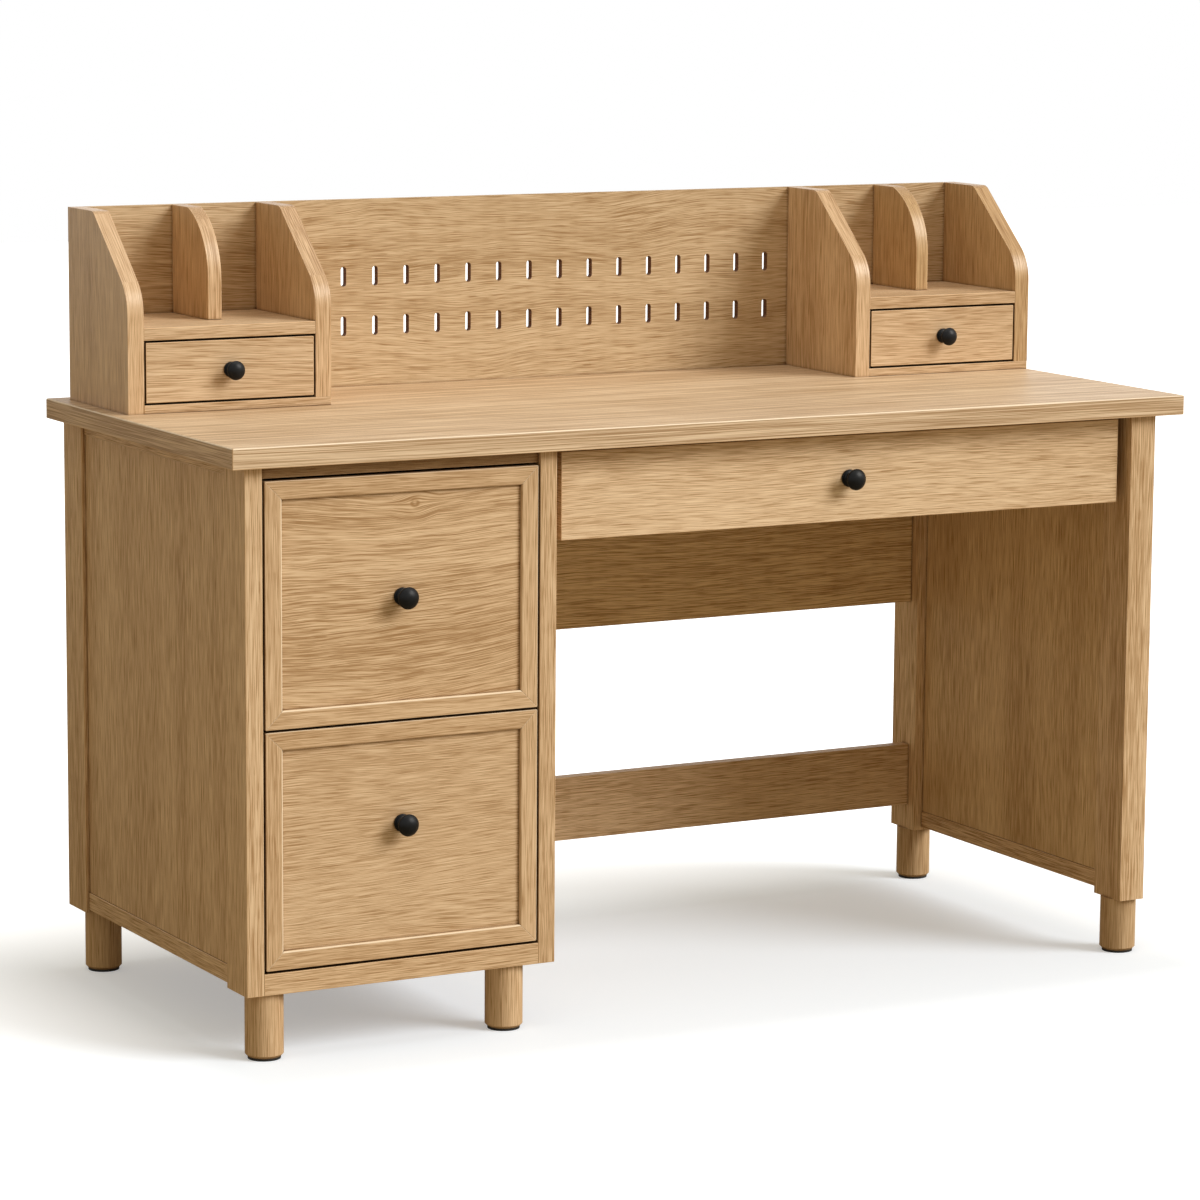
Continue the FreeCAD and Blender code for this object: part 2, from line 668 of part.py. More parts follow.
def make_file_drawer(name, z, high, knob_rise):
    """A drawer with a framed front. Returns its two tracks, which stay in the pedestal."""
    x = bay_left + at.front_gap
    wide = bay_right - bay_left - at.front_gap * 2
    framed_front(name, x, z, wide, high)
    knob_x, knob_z = x + wide / 2, z + high / 2 + knob_rise

    inset = at.frame_wide - at.frame_rebate + at.panel_play
    panel = board(name + "_panel_board", (x + inset, panel_face, z + inset),
                  (wide - inset * 2, at.panel_thick, high - inset * 2))
    keep(drilled(name + "_panel_drilled", panel, knob_x, knob_z, panel_face, at.panel_thick), name + "_panel")

    box_front = posts_front + at.frame_thick
    low = (bay_left + at.runner_gap, box_front, z + at.file_box_rise)
    box_rear = back_face - at.file_box_clear
    size = (bay_right - bay_left - at.runner_gap * 2, box_rear - box_front,
            high - at.file_box_rise - at.file_box_drop)
    boards = box_boards(name + "_box_wood", low, size, at.box_thick, at.box_floor, (knob_x, knob_z))
    keep(group(name + "_box_set", boards), name + "_box")
    tracks, runners = runner_pair(name, (bay_left, bay_right), low[2] + at.file_track_rise,
                                  posts_front + at.track_back, back_face - at.file_track_clear, box_rear)
    keep(group(name + "_runner_set", runners), name + "_runners")
    through = at.frame_thick - at.frame_lip + at.box_thick
    make_knob(name, knob_x, panel_face, knob_z, through, Size(1, "1"))
    return tracks


def make_pencil_drawer():
    """The wide flat drawer between the pedestal and the right end. Returns its two tracks."""
    name = "pencil_drawer"
    x = ped_right + at.runner_gap
    wide = end_left - ped_right - at.runner_gap * 2
    face = posts_front + at.pencil_in
    knob_x, knob_z = x + wide / 2, pencil_bottom + at.pencil_high / 2
    slab = board("pencil_slab", (x, face, pencil_bottom), (wide, at.board_thick, at.pencil_high))
    keep(drilled("pencil_front_drilled", slab, knob_x, knob_z, face, at.board_thick), name + "_front")
    box_front = face + at.board_thick
    box_rear = rear_board_front - at.pencil_box_clear
    low = (x, box_front, pencil_bottom + at.pencil_box_rise)
    size = (wide, box_rear - box_front, at.pencil_high - at.pencil_box_rise - at.pencil_box_drop)
    boards = box_boards("pencil_box_wood", low, size, at.box_thick, at.box_floor, (knob_x, knob_z))
    keep(group("pencil_box_set", boards), name + "_box")
    tracks, runners = runner_pair("pencil", (ped_right, end_left), low[2] + at.pencil_track_rise,
                                  box_front + at.front_gap, rear_board_front - at.pencil_track_clear, box_rear)
    keep(group("pencil_runner_set", runners), name + "_runners")
    make_knob(name, knob_x, face, knob_z, at.board_thick + at.box_thick, Size(1, "1"))
    return tracks


# Hutch

hutch_left = left_end + at.hutch_in_left
hutch_right = right_end - at.hutch_in_right
hutch_face = rear_edge - at.hutch_in_rear - at.hutch_deep
hutch_back_face = hutch_face + at.hutch_deep - at.hutch_back_thick
inner_deep = at.hutch_deep - at.hutch_back_thick
shelf_low = at.desk_height + at.unit_base + at.unit_room
shelf_top = shelf_low + at.unit_shelf


def unit_side(name, x, base, deep):
    """A side panel: straight at the front below, then slanting back to a short flat top."""
    drop = base - at.desk_height
    high = at.hutch_high - drop
    slant_low = at.slant_high - drop
    corners = [(NONE, NONE), (deep, NONE), (deep, high), (at.slant_back, high), (NONE, slant_low)]
    side = padded(name, "YZ_Plane", corners, at.unit_side)
    middle = at.unit_side / 2
    ease(side, "Fillet", [vector(middle, NONE, slant_low)], at.slant_low_round, name + "_low_round")
    ease(side, "Fillet", [vector(middle, at.slant_back, high)], at.slant_top_round, name + "_top_round")
    place(side, x, hutch_face, base)
    return side


def make_unit(name, x, left_deep, right_deep):
    """One drawer unit: two shaped sides, base, shelf and a divider with a curved front edge."""
    room = at.unit_width - at.unit_side * 2
    inside = x + at.unit_side
    keep(unit_side(name + "_left_board", x, at.desk_height, left_deep), name + "_side_left")
    right_x = inside + room
    right_base = at.desk_height + at.unit_base
    keep(unit_side(name + "_right_board", right_x, right_base, right_deep), name + "_side_right")
    base_long = room + at.unit_side
    base = board(name + "_base", (inside, hutch_face, at.desk_height), (base_long, inner_deep, at.unit_base))
    shelf = board(name + "_shelf", (inside, hutch_face, shelf_low), (room, inner_deep, at.unit_shelf))
    keep(group(name + "_board_pair", [base, shelf]), name + "_boards")

    high = at.desk_height + at.hutch_high - shelf_top
    curve_rise = high - arc_drop()
    forward = at.divider_deep - at.divider_top
    corners = [
        (NONE, NONE), (at.divider_deep, NONE), (at.divider_deep, high), (forward, high, at.divider_curve, 1),
        (NONE, curve_rise),
    ]
    divider = padded(name + "_divider_board", "YZ_Plane", corners, at.divider_thick)
    place(divider, inside + at.divider_at, hutch_back_face - at.divider_deep, shelf_top)
    keep(divider, name + "_divider")


def arc_drop():
    """How far below the top the divider's curve turns upright, from its radius and its reach."""
    reach = at.divider_deep - at.divider_top
    return (at.divider_curve * reach * 2 - reach * reach).root()


def slot(sketch, x, low, high, radius):
    """A slot that stands upright: two lines and two half circles."""
    left, right = x.number - radius.number, x.number + radius.number
    bottom, top = low.number, high.number
    up = sketch.addGeometry(Part.LineSegment(FreeCAD.Vector(left, bottom, 0), FreeCAD.Vector(left, top, 0)))
    cap = Part.Circle(FreeCAD.Vector(x.number, top, 0), FreeCAD.Vector(0, 0, 1), radius.number)
    over = sketch.addGeometry(Part.ArcOfCircle(cap, 0, math.pi))
    down = sketch.addGeometry(Part.LineSegment(FreeCAD.Vector(right, top, 0), FreeCAD.Vector(right, bottom, 0)))
    cup = Part.Circle(FreeCAD.Vector(x.number, bottom, 0), FreeCAD.Vector(0, 0, 1), radius.number)
    under = sketch.addGeometry(Part.ArcOfCircle(cup, math.pi, 2 * math.pi))
    for first, first_end, second, second_end in ((up, 2, over, 2), (over, 1, down, 1),
                                                 (down, 2, under, 2), (under, 1, up, 1)):
        sketch.addConstraint(Sketcher.Constraint("Tangent", first, first_end, second, second_end))
    sketch.addConstraint(Sketcher.Constraint("Vertical", up))
    sketch.addConstraint(Sketcher.Constraint("Equal", over, under))
    tie(sketch, "DistanceX", over, 3, x)
    tie(sketch, "DistanceY", over, 3, high)
    tie(sketch, "DistanceY", under, 3, low)
    index = sketch.addConstraint(Sketcher.Constraint("Radius", over, radius.number))
    bind(sketch, "Constraints[%d]" % index, radius)


def make_hutch_back():
    """The back of the hutch, with two rows of upright slots between the drawer units."""
    long = hutch_right - hutch_left - at.unit_side * 2
    corners = [(NONE, NONE), (long, NONE), (long, at.hutch_high), (NONE, at.hutch_high)]
    back = padded("hutch_back_body", "XZ_Plane", corners, at.hutch_back_thick)
    doc.recompute()
    before = back.Shape.Volume
    sketch = new_sketch(back, "XZ_Plane", "slot_outline")
    radius = at.slot_wide / 2
    reach = at.slot_long / 2 - radius
    first = at.unit_width - at.unit_side + at.slot_first
    for centre in (at.slot_low, at.slot_low + at.slot_rows):
        slot(sketch, first, centre - reach, centre + reach, radius)
    pocket = back.newObject("PartDesign::Pocket", "slot_pocket")
    pocket.Profile = sketch
    pocket.Type = "ThroughAll"
    doc.recompute()
    one_column = before - back.Shape.Volume
    pattern = back.newObject("PartDesign::LinearPattern", "slot_pattern")
    pattern.Originals = [pocket]
    pattern.Direction = (sketch, ["H_Axis"])
    bind(pattern, "Length", at.slot_pitch * (at.slot_columns - ONE))
    bind(pattern, "Occurrences", at.slot_columns)
    back.Tip = pattern
    doc.recompute()
    taken = before - back.Shape.Volume
    if one_column <= 0 or abs(taken / one_column - at.slot_columns.number) > 0.01:
        raise RuntimeError("the slots are not all cut")
    place(back, hutch_left + at.unit_side, hutch_back_face, at.desk_height)
    keep(back, "hutch_back")


ONE = Size(1, "1")


def make_small_drawer(name, unit_x):
    """A small drawer that slides on the base board of its unit."""
    inside = unit_x + at.unit_side
    room = at.unit_width - at.unit_side * 2
    floor = at.desk_height + at.unit_base
    front_x, front_z = inside + at.small_gap, floor + at.small_gap
    wide, high = room - at.small_gap * 2, at.unit_room - at.small_gap * 2
    knob_x, knob_z = front_x + wide / 2, front_z + high / 2
    slab = board(name + "_slab", (front_x, hutch_face, front_z), (wide, at.small_front_thick, high))
    front = drilled(name + "_front_drilled", slab, knob_x, knob_z, hutch_face, at.small_front_thick)
    keep(front, name + "_front")
    box_front = hutch_face + at.small_front_thick
    low = (inside + at.small_side_play, box_front, floor + at.small_run_play)
    size = (room - at.small_side_play * 2, inner_deep - at.small_front_thick - at.small_box_clear,
            at.unit_room - at.small_run_play - at.small_box_drop)
    boards = box_boards(name + "_box_wood", low, size, at.small_box_thick, at.small_box_floor, (knob_x, knob_z))
    keep(group(name + "_box_set", boards), name + "_box")
    make_knob(name, knob_x, hutch_face, knob_z, at.small_front_thick + at.small_box_thick, at.small_share)


def make_hutch():
    right_unit = hutch_right - at.unit_width
    make_hutch_back()
    make_unit("left_unit", hutch_left, at.hutch_deep, inner_deep)
    make_unit("right_unit", right_unit, inner_deep, at.hutch_deep)
    make_small_drawer("left_drawer", hutch_left)
    make_small_drawer("right_drawer", right_unit)


def check_document():
    """Stops on any object that failed and on any sub-part that isn't a sound solid."""
    for thing in doc.Objects:
        if "Invalid" in thing.State or "Error" in thing.State:
            raise RuntimeError("%s: %s" % (thing.Name, thing.State))
    for thing in parts:
        if thing.Shape.isNull() or not thing.Shape.isValid() or not thing.Shape.Solids:
            raise RuntimeError("unsound shape: " + thing.Label)


def main():
    make_worktop()
    make_pedestal()
    make_right_end()
    make_rear_boards()
    make_legs()
    file_tracks = make_file_drawer("lower_file", file_low_bottom, at.file_low_high, at.low_knob_rise)
    file_tracks += make_file_drawer("upper_file", file_up_bottom, file_up_high, NONE)
    keep(group("file_track_set", file_tracks), "file_tracks")
    keep(group("pencil_track_set", make_pencil_drawer()), "pencil_tracks")
    make_hutch()
    doc.recompute()
    check_document()
    os.makedirs("parts", exist_ok=True)
    for thing in parts:
        thing.Shape.exportStep(os.path.join("parts", thing.Label + ".step"))
    print("%d sub-parts" % len(parts))


main()
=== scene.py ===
"""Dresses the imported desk: camera, light, floor, oak, drawer wood, knobs, metal and plastic."""
import math

import bpy
from mathutils import Matrix, Vector


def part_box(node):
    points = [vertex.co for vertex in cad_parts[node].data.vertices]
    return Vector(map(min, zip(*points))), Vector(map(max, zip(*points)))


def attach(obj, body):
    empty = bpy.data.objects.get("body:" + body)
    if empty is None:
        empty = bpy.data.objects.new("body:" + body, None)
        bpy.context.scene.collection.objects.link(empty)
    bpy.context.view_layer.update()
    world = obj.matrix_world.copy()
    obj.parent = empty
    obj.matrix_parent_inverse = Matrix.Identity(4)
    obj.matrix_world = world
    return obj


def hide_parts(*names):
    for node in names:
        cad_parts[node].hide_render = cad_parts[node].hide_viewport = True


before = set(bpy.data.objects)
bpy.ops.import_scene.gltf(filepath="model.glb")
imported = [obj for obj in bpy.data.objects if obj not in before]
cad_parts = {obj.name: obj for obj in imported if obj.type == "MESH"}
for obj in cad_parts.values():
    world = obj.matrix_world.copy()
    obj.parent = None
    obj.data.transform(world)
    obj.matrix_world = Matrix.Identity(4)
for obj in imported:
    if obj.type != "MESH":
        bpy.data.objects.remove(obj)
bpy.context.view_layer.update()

SCENE = bpy.context.scene
WHITE = (1, 1, 1, 1)


def colour(red, green, blue):
    """A colour picked on a screen, 0 to 255, as the linear values that shaders use."""
    def linear(value):
        value /= 255
        return value / 12.92 if value <= 0.04045 else ((value + 0.055) / 1.055) ** 2.4
    return (linear(red), linear(green), linear(blue), 1)


def tinted(shade, tint):
    """A colour multiplied by another."""
    return tuple(one * other for one, other in zip(shade, tint)) + (1,)


# Node trees

class Nodes:
    """Short ways to add nodes to one node tree."""

    def __init__(self, tree):
        self.tree = tree

    def feed(self, socket, value):
        """Links another node's output to a socket, or sets the socket's own value."""
        if isinstance(value, bpy.types.NodeSocket):
            self.tree.links.new(value, socket)
        else:
            socket.default_value = value

    def add(self, kind, settings=None, inputs=None):
        """A new node, with its settings by name, and its inputs by name or number."""
        node = self.tree.nodes.new("ShaderNode" + kind)
        for name, value in (settings or {}).items():
            setattr(node, name, value)
        for key, value in (inputs or {}).items():
            self.feed(node.inputs[key], value)
        return node

    def math(self, operation, *values):
        return self.add("Math", {"operation": operation}, dict(enumerate(values))).outputs[0]

    def vector(self, operation, *values):
        node = self.add("VectorMath", {"operation": operation}, dict(enumerate(values)))
        return node.outputs["Value" if operation == "LENGTH" else "Vector"]

    def scaled(self, vector, scale):
        inputs = {"Vector": vector, "Scale": scale}
        return self.add("VectorMath", {"operation": "SCALE"}, inputs).outputs["Vector"]

    def split(self, vector):
        return self.add("SeparateXYZ", None, {"Vector": vector}).outputs

    def joined(self, x, y, z):
        return self.add("CombineXYZ", None, {"X": x, "Y": y, "Z": z}).outputs[0]

    def chosen(self, factor, first, second):
        """The first vector where the factor is 0, and the second where it is 1."""
        return self.add("Mix", {"data_type": "VECTOR"}, {0: factor, 4: first, 5: second}).outputs[1]

    def mixed(self, shade, factor, other, kind="MIX"):
        """The shade, replaced by another as far as the factor says."""
        settings = {"data_type": "RGBA", "blend_type": kind}
        return self.add("Mix", settings, {0: factor, 6: shade, 7: other}).outputs[2]

    def times(self, shade, factor, other):
        """The shade multiplied by another, as far as the factor says."""
        return self.mixed(shade, factor, other, "MULTIPLY")

    def noise(self, place, scales, shift=(0, 0, 0), detail=2.0, roughness=0.5):
        """Noise that is scaled along each axis by itself, so that it can run out along the grain."""
        place = self.add("Mapping", None, {"Vector": place, "Scale": scales, "Location": shift}).outputs[0]
        inputs = {"Vector": place, "Scale": 1.0, "Detail": detail, "Roughness": roughness}
        return self.add("TexNoise", None, inputs).outputs["Fac"]

    def ramp(self, value, stops):
        """A shade that runs through the stops, which are pairs of a position and a colour."""
        node = self.add("ValToRGB", None, {"Fac": value})
        points = node.color_ramp.elements
        while len(points) < len(stops):
            points.new(0.5)
        for point, (position, shade) in zip(points, stops):
            point.position = position
            point.color = shade
        return node.outputs["Color"]

    def level(self, value, low, high, to_low=0.0, to_high=1.0):
        """Turns the range low to high into another, and stops at its ends."""
        inputs = {"Value": value, "From Min": low, "From Max": high, "To Min": to_low, "To Max": to_high}
        return self.add("MapRange", {"clamp": True}, inputs).outputs["Result"]

    def openness(self, reach):
        """How open the space within a reach is: near 1 on a plain face, near 0 deep in a gap."""
        return self.add("AmbientOcclusion", {"samples": 6}, {"Distance": reach}).outputs["AO"]


class Shader(Nodes):
    """The node tree of one new material, with its place and normal in the frame."""

    def __init__(self, name):
        self.material = bpy.data.materials.new(name)
        self.material.use_nodes = True
        super().__init__(self.material.node_tree)
        self.surface = self.tree.nodes["Principled BSDF"]
        coordinates = self.add("TexCoord").outputs
        self.place = coordinates["Object"]
        self.normal = coordinates["Normal"]

    def set(self, **values):
        """Feeds the surface's inputs, each named with _ for a space."""
        for name, value in values.items():
            self.feed(self.surface.inputs[name.replace("_", " ")], value)

    def roughen(self, noise, at_low, at_high, reach=0.2):
        """Roughness that goes from one value to another over the middle of a noise."""
        self.set(Roughness=self.level(noise, 0.5 - reach, 0.5 + reach, at_low, at_high))

    def bump(self, height, strength, distance):
        """Relief as high as the distance in metres, as far as the strength says."""
        node = self.add("Bump", None, {"Height": height, "Strength": strength, "Distance": distance})
        self.feed(self.surface.inputs["Normal"], node.outputs[0])


# Where the grain runs, and how it bends

# For grain along X, Y or Z: which axes are along the grain, across it and through the board
GRAIN_AXES = {"X": (0, 1, 2), "Y": (1, 0, 2), "Z": (2, 1, 0)}
# How squarely a face looks along an axis, from 0 to 1: from where it is a board's end, or a banded
# board's flat face, and from where its lines can't move along that axis
END_FACING = 0.8
FLAT_FACING = 0.5
FIXED_FACING = 0.7071

# A knot's outline is a circle in a place scaled by this, along, across and through the grain
KNOT_SHAPE = (0.85, 1.0, 1.0)
# How much a knot spreads the lines at its centre, and in its radii: how far out it does so, how large
# its dark ring is, and how wide
KNOT_SPREAD = 0.85
KNOT_REACH = 5
RING_RADIUS = 0.62
RING_WIDTH = 0.45


def grain_place(shader, grain, shift, banded=False):
    """The place as along the grain, across it and through it, turned on the board's end faces.

    On a banded board the lines also run along its edges, as on a strip of edge veneer.
    """
    order = GRAIN_AXES[grain]
    place, facing = shader.split(shader.place), shader.split(shader.normal)
    along, across, through = (place[index] for index in order)
    if banded:
        flat = shader.math("GREATER_THAN", shader.math("ABSOLUTE", facing[order[2]]), FLAT_FACING)
        across = shader.math("MULTIPLY", across, flat)
    end = shader.math("GREATER_THAN", shader.math("ABSOLUTE", facing[order[0]]), END_FACING)
    on_face, on_end = shader.joined(along, across, through), shader.joined(across, along, through)
    return shader.vector("ADD", shader.chosen(end, on_face, on_end), shift)


def face_shares(shader, grain):
    """1 or 0: whether lines on this face can move across the grain, and through it."""
    facing = shader.split(shader.normal)
    across, through = (shader.math("ABSOLUTE", facing[index]) for index in GRAIN_AXES[grain][1:])
    return shader.math("LESS_THAN", across, FIXED_FACING), shader.math("LESS_THAN", through, FIXED_FACING)


def bent(shader, place, scales, shift, amount, shares):
    """The place pushed across the grain, within the face, by a slow noise, so that the lines flow."""
    push = shader.math("SUBTRACT", shader.noise(place, scales, shift, detail=1.0), 0.5)
    push = shader.math("MULTIPLY", push, amount)
    across, through = (shader.math("MULTIPLY", push, share) for share in shares)
    return shader.vector("ADD", place, shader.joined(0.0, across, through))


def round_knot(shader, place, centre, radius):
    """The place as grain sees it near a small knot, and how near the knot's own ring is."""
    away = shader.vector("SUBTRACT", place, centre)
    near = shader.vector("LENGTH", shader.vector("MULTIPLY", away, KNOT_SHAPE))
    spread = shader.level(near, 0.0, radius * KNOT_REACH, KNOT_SPREAD, 0.0)
    sideways = shader.vector("MULTIPLY", away, (0.0, 1.0, 1.0))
    place = shader.vector("SUBTRACT", place, shader.scaled(sideways, spread))
    offset = shader.math("ABSOLUTE", shader.math("SUBTRACT", near, radius * RING_RADIUS))
    return place, shader.level(offset, 0.0, radius * RING_WIDTH, 1.0, 0.0)


def thin_lines(shader, value, width):
    """1 along the thin lines where a noise crosses its middle, 0 elsewhere."""
    return shader.level(shader.math("ABSOLUTE", shader.math("SUBTRACT", value, 0.5)), 0.0, width, 1.0, 0.0)


# Where a board's colour differs, and where shade and highlights are painted on it

# What multiplies a shade: end grain's own darker colour, and painted shade in inner corners, painted
# shadow under the top, and painted shade deep in a gap and in a slot
END_GRAIN = colour(235, 228, 218)
CORNER_PAINTED_SHADE = colour(150, 120, 90)
RECESS_PAINTED_SHADOW = colour(160, 142, 112)
GAP_PAINTED_SHADE = colour(24, 17, 12)
SLOT_PAINTED_SHADE = colour(185, 140, 80)
# How far round itself a point looks for a corner or gap, a slot's walls and a recess, in metres
CORNER_REACH = 0.006
SLOT_REACH = 0.02
RECESS_REACH = 0.03
# How open a point is deep in a gap, where a gap ends and a corner starts, and where a corner ends
GAP_DEPTH = 0.15
GAP_END = 0.42
CORNER_END = 0.8
# How much of its painted shade shows in a corner, and of the painted highlight where a rounded edge faces
# the light most
CORNER_STRENGTH = 0.6
RIM_HIGHLIGHT_STRENGTH = 0.75


def end_share(shader, grain):
    """How far a face cuts across the grain."""
    facing = shader.split(shader.normal)[GRAIN_AXES[grain][0]]
    return shader.level(shader.math("ABSOLUTE", facing), 0.35, 0.85)


def painted_highlight_share(shader):
    """1 along the rounded upper and right-hand edges of a board, which face the light, where a highlight is
    painted.

    It starts where the rounding turns upward or to the right, and ends short of the flat face.
    """
    rightward, _, upward = shader.split(shader.normal)
    facing = shader.math("MAXIMUM", upward, rightward)
    return shader.math("MULTIPLY", shader.level(facing, 0.1, 0.35), shader.level(facing, 0.98, 0.9))


def painted_slot_shade_share(shader):
    """1 on the walls of narrow slots in a board that faces front and rear, where shade is painted."""
    frontward = shader.math("ABSOLUTE", shader.split(shader.normal)[1])
    on_wall = shader.level(frontward, 0.4, 0.6, 1.0, 0.0)
    return shader.math("MULTIPLY", on_wall, shader.level(shader.openness(SLOT_REACH), 0.8, 0.95, 1.0, 0.0))


def painted_recess_shadow_share(shader):
    """1 close under a board or beside one, where shadow is painted, 0 in the open."""
    return shader.level(shader.openness(RECESS_REACH), 0.55, 0.95, 1.0, 0.0)


def with_painted_gap_shade(shader, shade):
    """Paints shade: darkens a shade a little along inner corners, and fully deep in a narrow gap."""
    open_share = shader.openness(CORNER_REACH)
    corner = shader.level(open_share, GAP_END, CORNER_END, CORNER_STRENGTH, 0.0)
    gap = shader.level(open_share, GAP_DEPTH, GAP_END, 1.0, 0.0)
    return shader.times(shader.times(shade, corner, CORNER_PAINTED_SHADE), gap, GAP_PAINTED_SHADE)


# Oak

# Its shades from dark to light, as they look in plain light, and the painted highlight on rounded edges that
# face the light
OAK_DARK = colour(170, 134, 93)
OAK_MIDDLE = colour(216, 185, 148)
OAK_LIGHT = colour(237, 210, 175)
OAK_PAINTED_HIGHLIGHT = colour(252, 238, 214)

# How far apart two boards lie in the noises, for each step of the seed
SEED_STEP = (1.7, 0.93, 0.61)

# The bends: the place that each bends, its waves per metre along, across and through the grain, its
# shift, and its share of the board's flow
OAK_BENDS = {
    "slow": ("straight", (2.2, 5.5, 5.5), (0, 0, 0), 1.0),
    "near": ("slow", (11, 34, 34), (3, 1, 7), 0.1),
    "other": ("slow", (8, 26, 26), (8, 4, 2), 0.16),
}
# The noises: the bend that each follows, its waves per metre as above, its shift, and its detail
OAK_NOISES = {
    "fine": ("near", (19, 1350, 1350), (0, 0, 0), 1.0),
    "crossing": ("other", (24, 800, 800), (5, 5, 5), 1.0),
    "strands": ("near", (3, 150, 150), (1, 8, 3), 1.0),
    "growth": ("slow", (1.2, 46, 46), (7, 3, 1), 1.0),
    "broad": ("slow", (1.1, 13, 13), (2, 6, 4), 2.0),
    "veins": ("other", (9, 420, 420), (9, 2, 6), 1.0),
    "pores": ("near", (45, 1500, 1500), (4, 9, 6), 0.0),
}
# How strongly each layer lightens or darkens the oak. A board's lines scale the first three and the
# pores, and its bands the next two
LINE_WEIGHTS = {"fine": 3.0, "crossing": 0.8, "strands": 0.22}
BAND_WEIGHTS = {"growth": 0.3, "broad": 0.8}
PORE_WEIGHT = -0.35
VEIN_WEIGHT = -0.17
RING_WEIGHT = -0.45
# How far from the middle of its noise a vein reaches, and over which stretch of theirs pores deepen
VEIN_WIDTH = 0.06
PORE_RANGE = (0.58, 0.68)
# How much rougher or smoother than the board its finest fibres are, and how deep pores lie under them
ROUGHNESS_SPREAD = 0.06
PORE_DEPTH = -0.7


def oak_noises(shader, place, grain, flow):
    """All the oak's noises by name, along lines that bend."""
    shares = face_shares(shader, grain)
    places = {"straight": place}
    for name, (base, scales, shift, share) in OAK_BENDS.items():
        places[name] = bent(shader, places[base], scales, shift, flow * share, shares)
    return {
        name: shader.noise(places[bend], scales, shift, detail)
        for name, (bend, scales, shift, detail) in OAK_NOISES.items()
    }


def oak_tone(shader, noises, pores, ring, lines, bands):
    """How light the oak is, where 0 is its darkest shade and 1 its lightest."""
    weights = {name: weight * lines for name, weight in LINE_WEIGHTS.items()}
    weights.update((name, weight * bands) for name, weight in BAND_WEIGHTS.items())
    tone = 0.5
    for name, weight in weights.items():
        tone = shader.math("MULTIPLY_ADD", shader.math("SUBTRACT", noises[name], 0.5), weight, tone)
    veins = thin_lines(shader, noises["veins"], VEIN_WIDTH)
    tone = shader.math("MULTIPLY_ADD", veins, VEIN_WEIGHT, tone)
    tone = shader.math("MULTIPLY_ADD", pores, PORE_WEIGHT * lines, tone)
    if ring is None:
        return tone
    return shader.math("MULTIPLY_ADD", ring, RING_WEIGHT, tone)


def oak(name, grain, seed, flow=0.03, lines=1.0, bands=1.0, tint=(1, 1, 1), gloss=0.2, rough=0.46,
        stretch=(1, 1), knot=None, banded=False, rim=False, slots=False, recess=False):
    """Satin oak: fibres and pores in lines that flow along the grain, and slow changes of tone.

    flow is how far the lines bend, in metres. lines and bands are how strong fine and slow changes are.
    A stretch below 1 makes both longer along the grain, and wider across it. A knot is its centre and
    radius. banded turns on what grain_place describes. rim paints a highlight along rounded edges that
    face up or to the right, slots paints shade on the walls of narrow slots, and recess paints shadow
    close under or beside a board. Shade in inner corners and deep in gaps is painted on every board.
    """
    shader = Shader(name)
    shift = tuple(step * seed for step in SEED_STEP)
    place, ring = grain_place(shader, grain, shift, banded), None
    if knot:
        centre, radius = knot
        place, ring = round_knot(shader, place, tuple(at + by for at, by in zip(centre, shift)), radius)
    place = shader.vector("MULTIPLY", place, (*stretch, 1.0))
    noises = oak_noises(shader, place, grain, flow)
    fine, pores = noises["fine"], shader.level(noises["pores"], *PORE_RANGE)
    shade = shader.ramp(oak_tone(shader, noises, pores, ring, lines, bands), [
        (0.0, tinted(OAK_DARK, tint)),
        (0.5, tinted(OAK_MIDDLE, tint)),
        (1.0, tinted(OAK_LIGHT, tint)),
    ])
    shade = shader.times(shade, end_share(shader, grain), END_GRAIN)
    if slots:
        shade = shader.times(shade, painted_slot_shade_share(shader), SLOT_PAINTED_SHADE)
    if rim:
        shade = shader.mixed(shade, shader.math("MULTIPLY", painted_highlight_share(shader), RIM_HIGHLIGHT_STRENGTH), OAK_PAINTED_HIGHLIGHT)
    if recess:
        shade = shader.times(shade, painted_recess_shadow_share(shader), RECESS_PAINTED_SHADOW)
    shader.set(Base_Color=with_painted_gap_shade(shader, shade), Specular_IOR_Level=gloss)
    shader.roughen(fine, rough + ROUGHNESS_SPREAD, rough - ROUGHNESS_SPREAD)
    shader.bump(shader.math("MULTIPLY_ADD", pores, PORE_DEPTH, fine), strength=0.16, distance=0.0005)
    return shader.material


def highlight_edge_oak(name, grain):
    """The oak of the eased edges: a lighter colour, a highlight painted on every edge, and a smoother
    finish.
    """
    shader = Shader(name)
    place = grain_place(shader, grain, (4.1, 2.2, 7.3))
    fibre = shader.noise(place, (20, 340, 340), detail=3.0, roughness=0.6)
    shade = shader.ramp(fibre, [(0.25, colour(205, 169, 125)), (0.7, colour(234, 203, 163))])
    shader.set(Base_Color=with_painted_gap_shade(shader, shade), Specular_IOR_Level=0.4)
    shader.roughen(fibre, 0.48, 0.38)
    shader.bump(fibre, strength=0.1, distance=0.0004)
    return shader.material


# The other materials

def drawer_wood(name):
    """Pale close-grained wood of the drawer boxes."""
    shader = Shader(name)
    place = grain_place(shader, "Y", (2.3, 5.1, 1.9))
    shares = face_shares(shader, "Y")
    lines = bent(shader, place, scales=(4, 16, 16), shift=(0, 0, 0), amount=0.012, shares=shares)
    fibre = shader.noise(lines, (9, 190, 190), detail=4.0, roughness=0.55)
    flecks = shader.noise(lines, (60, 500, 500), detail=1.0)
    shade = shader.ramp(fibre, [
        (0.25, colour(205, 178, 138)),
        (0.5, colour(220, 196, 158)),
        (0.75, colour(230, 209, 174)),
    ])
    shade = shader.times(shade, shader.level(flecks, 0.6, 0.72, 0.0, 0.5), colour(214, 190, 156))
    shader.set(Base_Color=shade, Specular_IOR_Level=0.3)
    shader.roughen(fibre, 0.62, 0.5)
    shader.bump(fibre, strength=0.15, distance=0.0005)
    return shader.material


